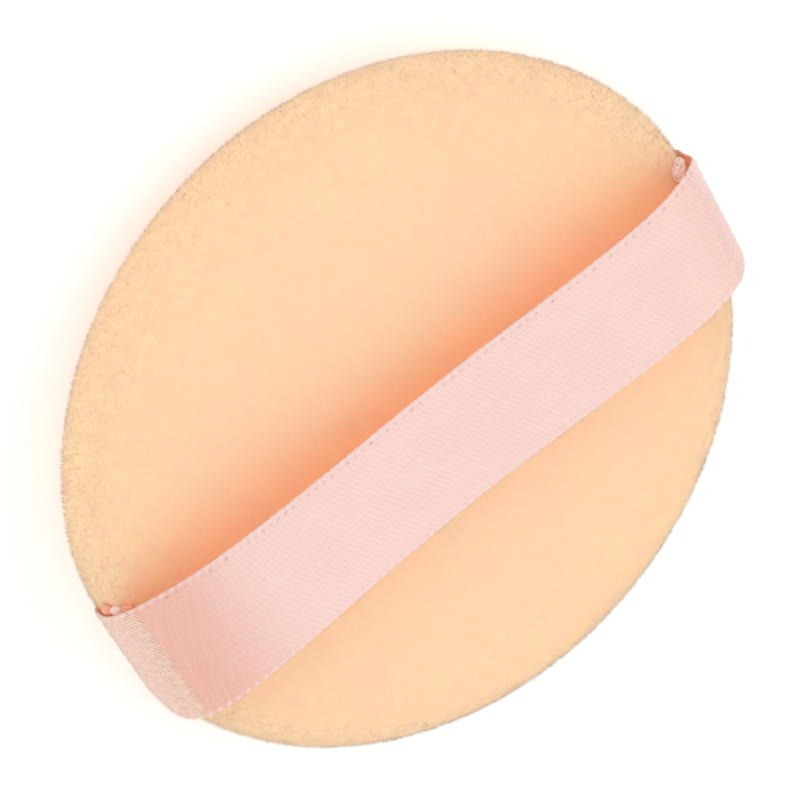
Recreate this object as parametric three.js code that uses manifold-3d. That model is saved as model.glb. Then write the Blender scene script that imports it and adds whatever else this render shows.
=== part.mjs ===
// A round velour powder puff with a satin finger ribbon across its back, lying on its powder face.
// Millimetres, +Z up. The origin is the middle of the powder face, and the ribbon runs along X.
//
// Two velour cups meet at the rim with their seam allowances turned in. A lockstitch through the
// allowances holds them and the ribbon's two tails, a hand stitch closes the gap left for turning,
// and a sponge disc fills the inside.

import * as THREE from 'three';
import { mergeVertices } from 'three/addons/utils/BufferGeometryUtils.js';
import Module from 'manifold-3d';

const wasm = await Module();
wasm.setup();

// Puff
const PUFF_DIAMETER = 80;
const PUFF_HEIGHT = 10; // from the powder face to the shoulder of the back
const BACK_CROWN = 0.4; // how far the back swells above its shoulder
const CROWN_RING = 0.55; // where the crown's slope changes, as a share of the shoulder's radius
const VELOUR = 1.6; // cloth and pile together
const FOAM_CLEARANCE = 0.25;
const ROUND_SEGMENTS = 60;
const RIM_STEPS = 5; // on the outer round of each cup
const LINING_STEPS = 3; // on the rounds inside

// Rim seam
const ALLOWANCE = 4.5; // width of the turned-in seam allowance
const ALLOWANCE_THICKNESS = 1.0; // the cloth is pressed thinner there
const ALLOWANCE_GAP = 0.5; // between the two allowances, where the ribbon's tails lie
const FOLD_ANGLE = 6; // degrees above the seam at which the rim turns in
const FOLD_INSET = 0.5; // the turn takes this much of the radius
const FOLD_LIP = 0.12; // height of its softened edge above the allowance
const STITCH_COUNT = 60; // places round the rim, sewn by machine or by hand
const STITCH_RADIUS = 37.2;
const THREAD = 0.24;
const THREAD_SIDES = 4;
const THREAD_LIFT = 0.06; // clearance of a thread from the cloth that it lies on
const LOOP_SPREAD = 0.36; // from the middle of a needle hole to each leg of a thread's loop
const LOOP_DEPTH = 0.17; // how far the two linked loops pass each other
const NEEDLE_HOLE = 1.1;
const CLOSING_FIRST = 10; // the hand-sewn places, counted from +X towards +Y
const CLOSING_COUNT = 10;
const CLOSING_RADIUS = 38.6;
const CLOSING_SLOT = 0.6; // width and depth of the fold that the hand stitch runs in

// Ribbon
const RIBBON_WIDTH = 16;
const RIBBON_THICKNESS = 0.3;
const SEWN_WIDTH = 12.6; // the ends are tucked narrower where the seam catches them
const SEWN_OFFSET = 1.2; // and are sewn in this far off the strap's middle, along Y
const FULL_WIDTH_HEIGHT = 9; // above the seam, where the ribbon has opened to its full width
const STRAP_REACH = 39.65; // half of the strap's span
const STRAP_RISE = 14; // height of its shoulders above the seam
const STRAP_SAG = 4.5; // the middle hangs this far below the shoulders
const STRAP_LEAN = -0.042; // rise of the ribbon across its width in the middle of the strap
const STRAP_TWIST = -0.05; // gain in that rise from the middle to the +X end
// Exponents of the arch, 2 for an ellipse. At +X the ribbon slips down on its side towards -Y.
const SQUARENESS_SLIPPED = 2.6;
const SQUARENESS_HIGH = 4.8;
const SQUARENESS_OTHER_END = 3.25;
const TAIL_FOLD = 0.8; // radius of the fold where the ribbon leaves the seam
const FOLD_STEPS = 3;
const TAIL_INSET = 0.2; // the tails end this far short of the allowances' edges
const ARCH_STEPS = 40;
const RIBBON_STRIPS = 4; // strips of faces across the width
const RIM_DRAW = 0.6; // how far the ribbon draws the rim in
const RIM_DRAW_WIDTH = 12; // on each side of the ribbon's middle

// Tacks
const TACK_TURNS = 4;
const TACK_STEPS = 8; // steps in each turn
const TACK_SIDES = 5;
const TACK_COIL = 0.5; // radius of the stitches' path round the bar
const TACK_THREAD = 0.3;
const TACK_FROM = 36; // degrees up the rim's round, from the seam
const TACK_TO = 76;
const TACK_BESIDE = 9.6; // degrees round the rim from the ribbon's axis, towards -Y
const TACK_DEPTH = 1.1; // how deep its ends are sewn into the velour
const TACK_HOLE = 0.7;

const CUT_MARGIN = 0.2; // a hole's block stands this far past what it cuts
const WELD = 1e-4; // corners closer than this are one

// Finishes
const PEACH_VELOUR = { color: 0xffd4aa, roughness: 0.95 };
const CREAM_SPONGE = { color: 0xf6ebdd, roughness: 0.9 };
const PINK_SATIN = { color: 0xfed9d2, roughness: 0.4 };
const PEACH_THREAD = { color: 0xf3c8a4, roughness: 0.7 };
const PINK_THREAD = { color: 0xf2b9ae, roughness: 0.6 };

const radius = PUFF_DIAMETER / 2;
const seam = PUFF_HEIGHT / 2;
const rim = PUFF_HEIGHT / 2; // radius of the round rim
const shoulder = radius - rim;
const allowanceEnd = radius - FOLD_INSET - ALLOWANCE;
const allowanceFace = ALLOWANCE_GAP / 2; // from the seam's middle
const allowanceBack = allowanceFace + ALLOWANCE_THICKNESS;
const stitchStep = (2 * Math.PI) / STITCH_COUNT;

const degrees = THREE.MathUtils.degToRad;

// The ribbon's pull flattens the rim behind its ends: the new radius of a point at that radius and angle.
function drawnRadius(r, angle) {
  const across = (r * Math.sin(angle)) / RIM_DRAW_WIDTH;
  const nearRibbon = Math.max(0, 1 - across * across) ** 2;
  return r - RIM_DRAW * nearRibbon * THREE.MathUtils.smoothstep(r, shoulder - rim, radius);
}

function roundPoint(r, angle, z) {
  const drawn = drawnRadius(r, angle);
  return new THREE.Vector3(drawn * Math.cos(angle), drawn * Math.sin(angle), z);
}

// A closed solid from a geometry: shared corners merged, slivers at the axis dropped, faces turned out.
function solidOf(geometry) {
  const bare = geometry.clone();
  bare.deleteAttribute('normal');
  bare.deleteAttribute('uv');
  const merged = mergeVertices(bare, WELD);
  const vertProperties = new Float32Array(merged.getAttribute('position').array);
  const triangles = [];
  let volume = 0;
  const corner = (i) => new THREE.Vector3().fromArray(vertProperties, 3 * i);
  for (let i = 0; i < merged.index.count; i += 3) {
    const [a, b, c] = [0, 1, 2].map((k) => merged.index.getX(i + k));
    if (a === b || b === c || c === a) continue;
    triangles.push([a, b, c]);
    volume += corner(a).dot(corner(b).cross(corner(c)));
  }
  const outward = volume > 0 ? triangles : triangles.map(([a, b, c]) => [a, c, b]);
  const triVerts = new Uint32Array(outward.flat());
  return new wasm.Manifold(new wasm.Mesh({ numProp: 3, vertProperties, triVerts }));
}

function meshOf(name, solid, finish) {
  const { vertProperties, triVerts } = solid.getMesh();
  const geometry = new THREE.BufferGeometry();
  geometry.setAttribute('position', new THREE.BufferAttribute(new Float32Array(vertProperties), 3));
  geometry.setIndex(new THREE.BufferAttribute(new Uint32Array(triVerts), 1));
  geometry.computeVertexNormals();
  const mesh = new THREE.Mesh(
    geometry,
    new THREE.MeshStandardMaterial({ ...finish, metalness: 0 }),
  );
  mesh.name = name;
  return mesh;
}

// Points of a round arc in a profile, as [radius, height] pairs.
function arc(centreR, centreZ, r, fromDegrees, toDegrees, steps) {
  return Array.from({ length: steps + 1 }, (_, i) => {
    const angle = degrees(THREE.MathUtils.lerp(fromDegrees, toDegrees, i / steps));
    return [centreR + r * Math.cos(angle), centreZ + r * Math.sin(angle)];
  });
}

// A round piece from its profile, with the rim drawn in behind the ribbon's ends.
function turned(profile) {
  const points = profile.map(([r, z]) => new THREE.Vector2(r, z));
  const geometry = new THREE.LatheGeometry(points, ROUND_SEGMENTS).rotateX(Math.PI / 2);
  const position = geometry.getAttribute('position');
  for (let i = 0; i < position.count; i++) {
    const r = Math.hypot(position.getX(i), position.getY(i));
    const scale = r > 0 ? drawnRadius(r, Math.atan2(position.getY(i), position.getX(i))) / r : 1;
    position.setXY(i, position.getX(i) * scale, position.getY(i) * scale);
  }
  return solidOf(geometry);
}

// One velour cup, as it lies above the seam: side 1 for the back, -1 for the powder face.
function velourCup(side, crown) {
  const innerRound = rim - VELOUR;
  const rootAngle = THREE.MathUtils.radToDeg(Math.asin(allowanceBack / innerRound));
  const crownHeight = crown * (1 - CROWN_RING ** 2);
  const profile = [
    [0, rim + crown],
    [CROWN_RING * shoulder, rim + crownHeight],
    ...arc(shoulder, 0, rim, 90, FOLD_ANGLE, RIM_STEPS),
    [radius - FOLD_INSET / 2, allowanceFace + FOLD_LIP],
    [radius - FOLD_INSET, allowanceFace],
    [allowanceEnd, allowanceFace],
    [allowanceEnd, allowanceBack],
    ...arc(shoulder, 0, innerRound, rootAngle, 90, LINING_STEPS),
    [0, innerRound + crown],
  ];
  return turned(profile.map(([r, z]) => [r, seam + side * z]));
}

// The sponge fills the cups, and the turned-in allowances press a groove into its edge.
function spongeDisc() {
  const round = rim - VELOUR - FOAM_CLEARANCE;
  const grooveHalf = allowanceBack + THREAD + 2 * THREAD_LIFT + FOAM_CLEARANCE;
  const lipAngle = THREE.MathUtils.radToDeg(Math.asin(grooveHalf / round));
  const grooveEnd = allowanceEnd - FOAM_CLEARANCE;
  const profile = [
    [0, seam - round],
    ...arc(shoulder, seam, round, -90, -lipAngle, LINING_STEPS),
    [grooveEnd, seam - grooveHalf],
    [grooveEnd, seam + grooveHalf],
    ...arc(shoulder, seam, round, lipAngle, 90, LINING_STEPS),
    [0, seam + round + BACK_CROWN],
  ];
  return turned(profile);
}

// A thread's route runs straight from point to point, with a section of the tube at every point.
class ThreadRoute extends THREE.Curve {
  constructor(points) {
    super();
    this.points = points;
    this.last = points.length - 1;
  }

  getPoint(t, target = new THREE.Vector3()) {
    const place = t * this.last;
    const i = Math.min(Math.floor(place), this.last - 1);
    return target.lerpVectors(this.points[i], this.points[i + 1], place - i);
  }

  getTangent(t, target = new THREE.Vector3()) {
    const i = Math.round(t * this.last);
    const here = this.points[i];
    const before = this.points[Math.max(i - 1, 0)];
    const after = this.points[Math.min(i + 1, this.last)];
    const arriving = new THREE.Vector3().subVectors(here, before).normalize();
    return target.subVectors(after, here).normalize().add(arriving).normalize();
  }

  getUtoTmapping(u) {
    return u;
  }
}

function threadAlong(points, diameter, sides) {
  const section = new THREE.Shape(
    Array.from({ length: sides }, (_, i) => {
      const angle = (2 * Math.PI * i) / sides;
      return new THREE.Vector2(Math.cos(angle), Math.sin(angle)).multiplyScalar(diameter / 2);
    }),
  );
  const route = new ThreadRoute(points);
  return solidOf(
    new THREE.ExtrudeGeometry(section, {
      steps: route.last,
      extrudePath: route,
      bevelEnabled: false,
    }),
  );
}

const stitchAngle = (i) => (i + 0.5) * stitchStep;

const machineStitches = Array.from(
  { length: STITCH_COUNT - CLOSING_COUNT },
  (_, i) => CLOSING_FIRST + CLOSING_COUNT + i,
);

// A point beside the middle of a needle hole: outwards, along the seam and up from the seam's middle.
function atStitch(i, outward, along, up) {
  const angle = stitchAngle(i);
  const point = roundPoint(STITCH_RADIUS, angle, seam + up);
  point.x += outward * Math.cos(angle) - along * Math.sin(angle);
  point.y += outward * Math.sin(angle) + along * Math.cos(angle);
  return point;
}

// The needle thread lies on the upper allowance. In each hole it goes down on the outer side, passes
// under the bobbin thread and comes up on the inner side.
function needleThread() {
  const top = allowanceBack + THREAD_LIFT + THREAD / 2;
  const points = machineStitches.flatMap((i) => [
    atStitch(i, LOOP_SPREAD, 0, top),
    atStitch(i, LOOP_SPREAD, 0, 0),
    atStitch(i, LOOP_SPREAD / 2, 0, -LOOP_DEPTH),
    atStitch(i, -LOOP_SPREAD / 2, 0, -LOOP_DEPTH),
    atStitch(i, -LOOP_SPREAD, 0, 0),
    atStitch(i, -LOOP_SPREAD, 0, top),
  ]);
  return threadAlong(points, THREAD, THREAD_SIDES);
}

// The bobbin thread lies under the lower allowance, and its loops stand along the seam.
function bobbinThread() {
  const bottom = -(allowanceBack + THREAD_LIFT + THREAD / 2);
  const points = machineStitches.flatMap((i) => [
    atStitch(i, 0, -LOOP_SPREAD, bottom),
    atStitch(i, 0, -LOOP_SPREAD, 0),
    atStitch(i, 0, -LOOP_SPREAD / 2, LOOP_DEPTH),
    atStitch(i, 0, LOOP_SPREAD / 2, LOOP_DEPTH),
    atStitch(i, 0, LOOP_SPREAD, 0),
    atStitch(i, 0, LOOP_SPREAD, bottom),
  ]);
  return threadAlong(points, THREAD, THREAD_SIDES);
}

// The ladder stitch runs inside one fold, crosses to the other and runs on there.
const closingDepth = allowanceFace + CLOSING_SLOT / 2;
const closingAngle = (i) => stitchAngle(CLOSING_FIRST + i);
const closingSide = (run) => (run % 2 === 0 ? 1 : -1);

function closingThread() {
  const points = [];
  for (let run = 0; run < CLOSING_COUNT - 1; run++) {
    const z = seam + closingSide(run) * closingDepth;
    points.push(roundPoint(CLOSING_RADIUS, closingAngle(run), z));
    points.push(roundPoint(CLOSING_RADIUS, closingAngle(run + 1), z));
  }
  return threadAlong(points, THREAD, THREAD_SIDES);
}

function block(width, depth, height, place) {
  return solidOf(new THREE.BoxGeometry(width, depth, height).applyMatrix4(place));
}

function turnedPlace(point, angle) {
  return new THREE.Matrix4().makeRotationZ(angle).setPosition(point);
}

// The holes that the machine's needle leaves in both allowances and in the ribbon's tails.
const needleHoles = machineStitches.map((i) =>
  block(
    NEEDLE_HOLE,
    NEEDLE_HOLE,
    2 * (allowanceBack + CUT_MARGIN),
    turnedPlace(atStitch(i, 0, 0, 0), stitchAngle(i)),
  ),
);

// The channels that the hand stitch runs in, in the fold above the seam or in the one below.
function closingChannels(side) {
  const channels = [];
  for (let run = 0; run < CLOSING_COUNT - 1; run++) {
    if (closingSide(run) !== side) continue;
    const middle = (closingAngle(run) + closingAngle(run + 1)) / 2;
    const z = seam + side * closingDepth;
    const length = CLOSING_RADIUS * stitchStep + CLOSING_SLOT;
    const place = turnedPlace(roundPoint(CLOSING_RADIUS, middle, z), middle);
    channels.push(block(CLOSING_SLOT, length, CLOSING_SLOT, place));
  }
  return channels;
}

const strapSag = (x) => STRAP_SAG * (1 - (x / STRAP_REACH) ** 2);

// How square the arch's shoulder is, across the ribbon from -0.5 to 0.5.
function squareness(x, across) {
  if (x < 0) return SQUARENESS_OTHER_END;
  return THREE.MathUtils.lerp(SQUARENESS_SLIPPED, SQUARENESS_HIGH, across + 0.5);
}

// A point of the strap: a square-shouldered arch that rises from the seam and sags in its middle.
function strapPoint(turn, exponent) {
  const c = Math.cos(turn);
  const s = Math.sin(turn);
  const reach = (Math.abs(c) ** exponent + Math.abs(s) ** exponent) ** (-1 / exponent);
  const x = reach * STRAP_REACH * c;
  return new THREE.Vector2(x, seam + reach * STRAP_RISE * s - strapSag(x));
}

// The ribbon's middle line in the XZ plane, from one tail over the arch to the other tail.
function ribbonLine() {
  const tail = [new THREE.Vector2(allowanceEnd + TAIL_INSET, seam)];
  const foldCentre = STRAP_REACH - TAIL_FOLD;
  for (const [x, z] of arc(foldCentre, seam + TAIL_FOLD, TAIL_FOLD, -90, 0, FOLD_STEPS)) {
    tail.push(new THREE.Vector2(x, z));
  }
  const arch = [];
  for (let i = 1; i < ARCH_STEPS; i++) {
    const turn = (Math.PI * i) / ARCH_STEPS;
    arch.push(strapPoint(turn, squareness(Math.cos(turn), 0)));
  }
  const otherTail = tail.map((p) => new THREE.Vector2(-p.x, p.y)).reverse();
  return [...tail, ...arch, ...otherTail];
}

// The ribbon's section along its length, thickened on both sides of the middle line.
function ribbonOutline() {
  const line = ribbonLine();
  const side = (sign) =>
    line.map((point, i) => {
      const before = line[Math.max(i - 1, 0)];
      const after = line[Math.min(i + 1, line.length - 1)];
      const along = new THREE.Vector2().subVectors(after, before).normalize();
      const out = new THREE.Vector2(along.y, -along.x);
      return point.clone().addScaledVector(out, (sign * RIBBON_THICKNESS) / 2);
    });
  return new THREE.Shape([...side(1), ...side(-1).reverse()]);
}

// The ribbon: narrow where it is tucked into the seam, full width above, leaning a little along the way.
function ribbon() {
  const geometry = new THREE.ExtrudeGeometry(ribbonOutline(), {
    depth: 1,
    steps: RIBBON_STRIPS,
    bevelEnabled: false,
  }).rotateX(Math.PI / 2);
  const position = geometry.getAttribute('position');
  for (let i = 0; i < position.count; i++) {
    const x = position.getX(i);
    const z = position.getZ(i);
    const across = -position.getY(i) - 0.5;
    const turn = Math.atan2((z + strapSag(x) - seam) / STRAP_RISE, x / STRAP_REACH);
    const slip = strapPoint(turn, squareness(x, across)).sub(strapPoint(turn, squareness(x, 0)));
    const height = z + slip.y;
    const open = THREE.MathUtils.smoothstep(height, seam + TAIL_FOLD, seam + FULL_WIDTH_HEIGHT);
    const y =
      across * THREE.MathUtils.lerp(SEWN_WIDTH, RIBBON_WIDTH, open) + (1 - open) * SEWN_OFFSET;
    const lean = STRAP_LEAN + (STRAP_TWIST * x) / STRAP_REACH;
    position.setXYZ(i, x + slip.x, y, height + open * lean * across * RIBBON_WIDTH);
  }
  return solidOf(geometry);
}

// A tack is a short bar of overcast stitches on the rim's round, both ends sewn into the velour.
function tackFrame(angle, up) {
  const lift = degrees(up);
  const out = new THREE.Vector3(
    Math.cos(angle) * Math.cos(lift),
    Math.sin(angle) * Math.cos(lift),
    Math.sin(lift),
  );
  const along = new THREE.Vector3(-Math.sin(angle), Math.cos(angle), 0);
  const foot = roundPoint(shoulder + rim * Math.cos(lift), angle, seam + rim * Math.sin(lift));
  return { out, along, foot };
}

function tackRoute(angle) {
  const steps = TACK_TURNS * TACK_STEPS;
  const lift = TACK_COIL + TACK_THREAD / 2 + 2 * THREAD_LIFT;
  const buried = (up) => {
    const { out, foot } = tackFrame(angle, up);
    return foot.clone().addScaledVector(out, -TACK_DEPTH);
  };
  const coil = Array.from({ length: steps + 1 }, (_, i) => {
    const up = THREE.MathUtils.lerp(TACK_FROM, TACK_TO, i / steps);
    const { out, along, foot } = tackFrame(angle, up);
    const turn = (2 * Math.PI * i) / TACK_STEPS;
    return foot
      .clone()
      .addScaledVector(out, lift - TACK_COIL * Math.cos(turn))
      .addScaledVector(along, TACK_COIL * Math.sin(turn));
  });
  return [buried(TACK_FROM), ...coil, buried(TACK_TO)];
}

function tackHoles(angle) {
  return [TACK_FROM, TACK_TO].map((up) => {
    const { out, along, foot } = tackFrame(angle, up);
    const place = new THREE.Matrix4()
      .makeBasis(out, along, new THREE.Vector3().crossVectors(out, along))
      .setPosition(foot);
    return block(2 * (TACK_DEPTH + CUT_MARGIN), TACK_HOLE, TACK_HOLE, place);
  });
}

// The least gap between stretches of a wound thread that are more than half a turn apart.
function leastGap(points, apart, diameter) {
  let least = Infinity;
  for (let i = 0; i < points.length; i++) {
    for (let j = i + apart + 1; j < points.length; j++) {
      least = Math.min(least, points[i].distanceTo(points[j]) - diameter);
    }
  }
  return least;
}

const cut = (solid, tools) => tools.reduce((left, tool) => left.subtract(tool), solid);

const leftTackAngle = -degrees(TACK_BESIDE);
const rightTackAngle = Math.PI + degrees(TACK_BESIDE);
const leftTack = tackRoute(leftTackAngle);
const rightTack = tackRoute(rightTackAngle);
const tackGap = leastGap(leftTack, TACK_STEPS / 2, TACK_THREAD);
console.log(`ribbon tack: least gap to itself ${tackGap.toFixed(2)} mm`);

const backHoles = [
  ...needleHoles,
  ...closingChannels(1),
  ...tackHoles(leftTackAngle),
  ...tackHoles(rightTackAngle),
];
const faceHoles = [...needleHoles, ...closingChannels(-1)];

const puff = new THREE.Group();
puff.name = 'powder_puff';
puff.add(
  meshOf('face_cover', cut(velourCup(-1, 0), faceHoles), PEACH_VELOUR),
  meshOf('back_cover', cut(velourCup(1, BACK_CROWN), backHoles), PEACH_VELOUR),
  meshOf('foam_core', spongeDisc(), CREAM_SPONGE),
  meshOf('ribbon_strap', cut(ribbon(), needleHoles), PINK_SATIN),
  meshOf('rim_needle_thread', needleThread(), PEACH_THREAD),
  meshOf('rim_bobbin_thread', bobbinThread(), PEACH_THREAD),
  meshOf('closing_thread', closingThread(), PEACH_THREAD),
  meshOf('ribbon_tack_left', threadAlong(leftTack, TACK_THREAD, TACK_SIDES), PINK_THREAD),
  meshOf('ribbon_tack_right', threadAlong(rightTack, TACK_THREAD, TACK_SIDES), PINK_THREAD),
);

export default puff;
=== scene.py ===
"""A round powder puff of peach velour with a pink satin finger ribbon across its back."""

import logging
import math
from collections.abc import Callable
from dataclasses import dataclass
from enum import Enum
from functools import partial
from typing import Any

import bpy
import numpy as np
from bpy.types import Material, Mesh, Node, NodeSocket, NodeTree, Object
from mathutils import Matrix, Vector, noise


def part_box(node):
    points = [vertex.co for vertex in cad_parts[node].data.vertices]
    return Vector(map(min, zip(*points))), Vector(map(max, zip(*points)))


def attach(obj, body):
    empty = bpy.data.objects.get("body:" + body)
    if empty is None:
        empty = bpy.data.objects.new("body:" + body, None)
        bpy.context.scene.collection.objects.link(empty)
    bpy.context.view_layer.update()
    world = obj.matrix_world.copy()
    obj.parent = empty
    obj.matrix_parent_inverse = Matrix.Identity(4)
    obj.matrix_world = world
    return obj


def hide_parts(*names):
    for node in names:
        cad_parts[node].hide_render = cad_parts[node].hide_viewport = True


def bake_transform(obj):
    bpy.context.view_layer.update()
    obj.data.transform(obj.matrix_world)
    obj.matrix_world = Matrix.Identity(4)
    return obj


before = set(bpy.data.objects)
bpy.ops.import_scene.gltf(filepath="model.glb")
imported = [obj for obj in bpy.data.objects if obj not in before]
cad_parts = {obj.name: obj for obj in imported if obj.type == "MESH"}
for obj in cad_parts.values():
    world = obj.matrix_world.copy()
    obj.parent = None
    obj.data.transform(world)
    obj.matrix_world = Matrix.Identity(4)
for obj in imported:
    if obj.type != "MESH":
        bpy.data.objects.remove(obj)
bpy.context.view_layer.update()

LOG = logging.getLogger("powder_puff")
MM = 0.001
TURN = 2 * math.pi
SEED = 20
PAD = "pad"
RIBBON_MAP = "ribbon_mm"

# Inputs of a Mix node that mixes colours, and of a Map Range node.
SHARE, UNDER, OVER = 0, 6, 7
LOW, HIGH, TO_LOW, TO_HIGH = 1, 2, 3, 4


def linear(colour: str) -> tuple[float, float, float, float]:
    """Turns an sRGB colour into linear light.

    Args:
        colour: The colour as #RRGGBB.

    Returns:
        Red, green, blue and an alpha of 1.
    """
    parts = [int(colour[i : i + 2], 16) / 255 for i in (1, 3, 5)]
    red, green, blue = (c / 12.92 if c <= 0.04045 else ((c + 0.055) / 1.055) ** 2.4 for c in parts)
    return red, green, blue, 1.0


def add_node(
    tree: NodeTree, kind: str, inputs: dict[str | int, Any] | None = None, **settings: Any
) -> Node:
    """Adds a node to a tree.

    Args:
        tree: The tree that takes the node.
        kind: Blender's name of the node type, after ShaderNode.
        inputs: For a named or numbered input its value, or the output or node to link. A node is
            linked by the first output that it has in use.
        **settings: The node's own properties.

    Returns:
        The new node.
    """
    node = tree.nodes.new(f"ShaderNode{kind}")
    for name, value in settings.items():
        setattr(node, name, value)
    for socket, value in (inputs or {}).items():
        if isinstance(value, Node):
            value = next(output for output in value.outputs if output.enabled)
        if isinstance(value, NodeSocket):
            tree.links.new(value, node.inputs[socket])
        else:
            node.inputs[socket].default_value = value
    return node


def new_material(name: str) -> tuple[Material, Callable[..., Node]]:
    """Makes a node material.

    Args:
        name: The material's name.

    Returns:
        The material, still without nodes, and add_node for its tree.
    """
    material = bpy.data.materials.new(name)
    material.use_nodes = True
    material.node_tree.nodes.clear()
    return material, partial(add_node, material.node_tree)


def box_mm(node: str) -> tuple[np.ndarray, np.ndarray]:
    """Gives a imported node's lowest and highest corners in millimetres."""
    low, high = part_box(node)
    return np.array(low) / MM, np.array(high) / MM


def smoothstep(value: np.ndarray | float, low: float, high: float) -> np.ndarray | float:
    """Rises smoothly from 0 at low to 1 at high."""
    share = np.clip((value - low) / (high - low), 0, 1)
    return share * share * (3 - 2 * share)


def unit(vectors: np.ndarray) -> np.ndarray:
    """Scales each row to length 1."""
    return vectors / np.maximum(np.linalg.norm(vectors, axis=-1, keepdims=True), 1e-12)


def run(line: np.ndarray) -> np.ndarray:
    """Gives how far along a line each of its points is."""
    return np.concatenate([[0], np.cumsum(np.linalg.norm(np.diff(line, axis=0), axis=1))])


def mesh_object(name: str, points: np.ndarray, faces: list | np.ndarray, *materials: Material) -> Object:
    """Makes a smooth-shaded mesh object.

    Args:
        name: The piece's name.
        points: Its points in millimetres.
        faces: The point numbers of each face.
        *materials: Its materials.

    Returns:
        The object, linked to the scene.
    """
    mesh = bpy.data.meshes.new(name)
    mesh.from_pydata((np.asarray(points) * MM).tolist(), [], [list(map(int, face)) for face in faces])
    mesh.polygons.foreach_set("use_smooth", np.ones(len(mesh.polygons), bool))
    mesh.update()
    for material in materials:
        mesh.materials.append(material)
    piece = bpy.data.objects.new(name, mesh)
    bpy.context.scene.collection.objects.link(piece)
    return piece


def evaluated_mesh(piece: Object) -> Mesh:
    """Gives a copy of an object's mesh with its modifiers applied."""
    graph = bpy.context.evaluated_depsgraph_get()
    return bpy.data.meshes.new_from_object(piece.evaluated_get(graph), depsgraph=graph)


def mesh_points(mesh: Mesh) -> np.ndarray:
    """Gives a mesh's points in millimetres."""
    points = np.empty(len(mesh.vertices) * 3, np.float32)
    mesh.vertices.foreach_get("co", points)
    return points.reshape(-1, 3).astype(float) / MM


def apply_modifiers(piece: Object) -> None:
    """Replaces an object's mesh by the one its modifiers make."""
    made = evaluated_mesh(piece)
    piece.modifiers.clear()
    old = piece.data
    name = old.name
    piece.data = made
    bpy.data.meshes.remove(old)
    made.name = name


def noise_field(points: np.ndarray, size: float, seed: float) -> np.ndarray:
    """Gives smooth noise vectors.

    Args:
        points: Where, in millimetres.
        size: Width of the noise's patches in millimetres.
        seed: Shifts the pattern.

    Returns:
        A vector for each point, with parts from -1 to 1.
    """
    shift = Vector((seed, 2 * seed, 3 * seed))
    return np.array([noise.noise_vector(Vector(p) / size + shift) for p in points])


def turned_points(profile: np.ndarray, spokes: int) -> np.ndarray:
    """Turns a profile round Z.

    Args:
        profile: Rows of radius and height, the first one on the axis.
        spokes: Points in a ring.

    Returns:
        The point on the axis, then ring after ring.
    """
    angle = TURN * np.arange(spokes) / spokes
    out, height = profile[1:, :1], profile[1:, 1:]
    rings = np.stack([out * np.cos(angle), out * np.sin(angle), height + 0 * angle], axis=-1)
    return np.concatenate([[[0, 0, profile[0, 1]]], rings.reshape(-1, 3)])


def turned_faces(rows: int, spokes: int) -> list[list[int]]:
    """Gives the faces of turned points.

    Args:
        rows: Rows in the profile, the one on the axis included.
        spokes: Points in a ring.

    Returns:
        A fan round the axis and rings of squares.
    """
    faces = []
    for j in range(spokes):
        after = (j + 1) % spokes
        faces.append([0, 1 + j, 1 + after])
        for i in range(rows - 2):
            here, outer = 1 + i * spokes, 1 + (i + 1) * spokes
            faces.append([here + j, outer + j, outer + after, here + after])
    return faces


class Tint(Enum):
    """The colours of single pile fibres, mixed as in a yarn of several dye lots."""

    PALE = "#FFDFB6"
    PEACH = "#FFDAB0"
    WARM = "#FFD5AC"


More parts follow.
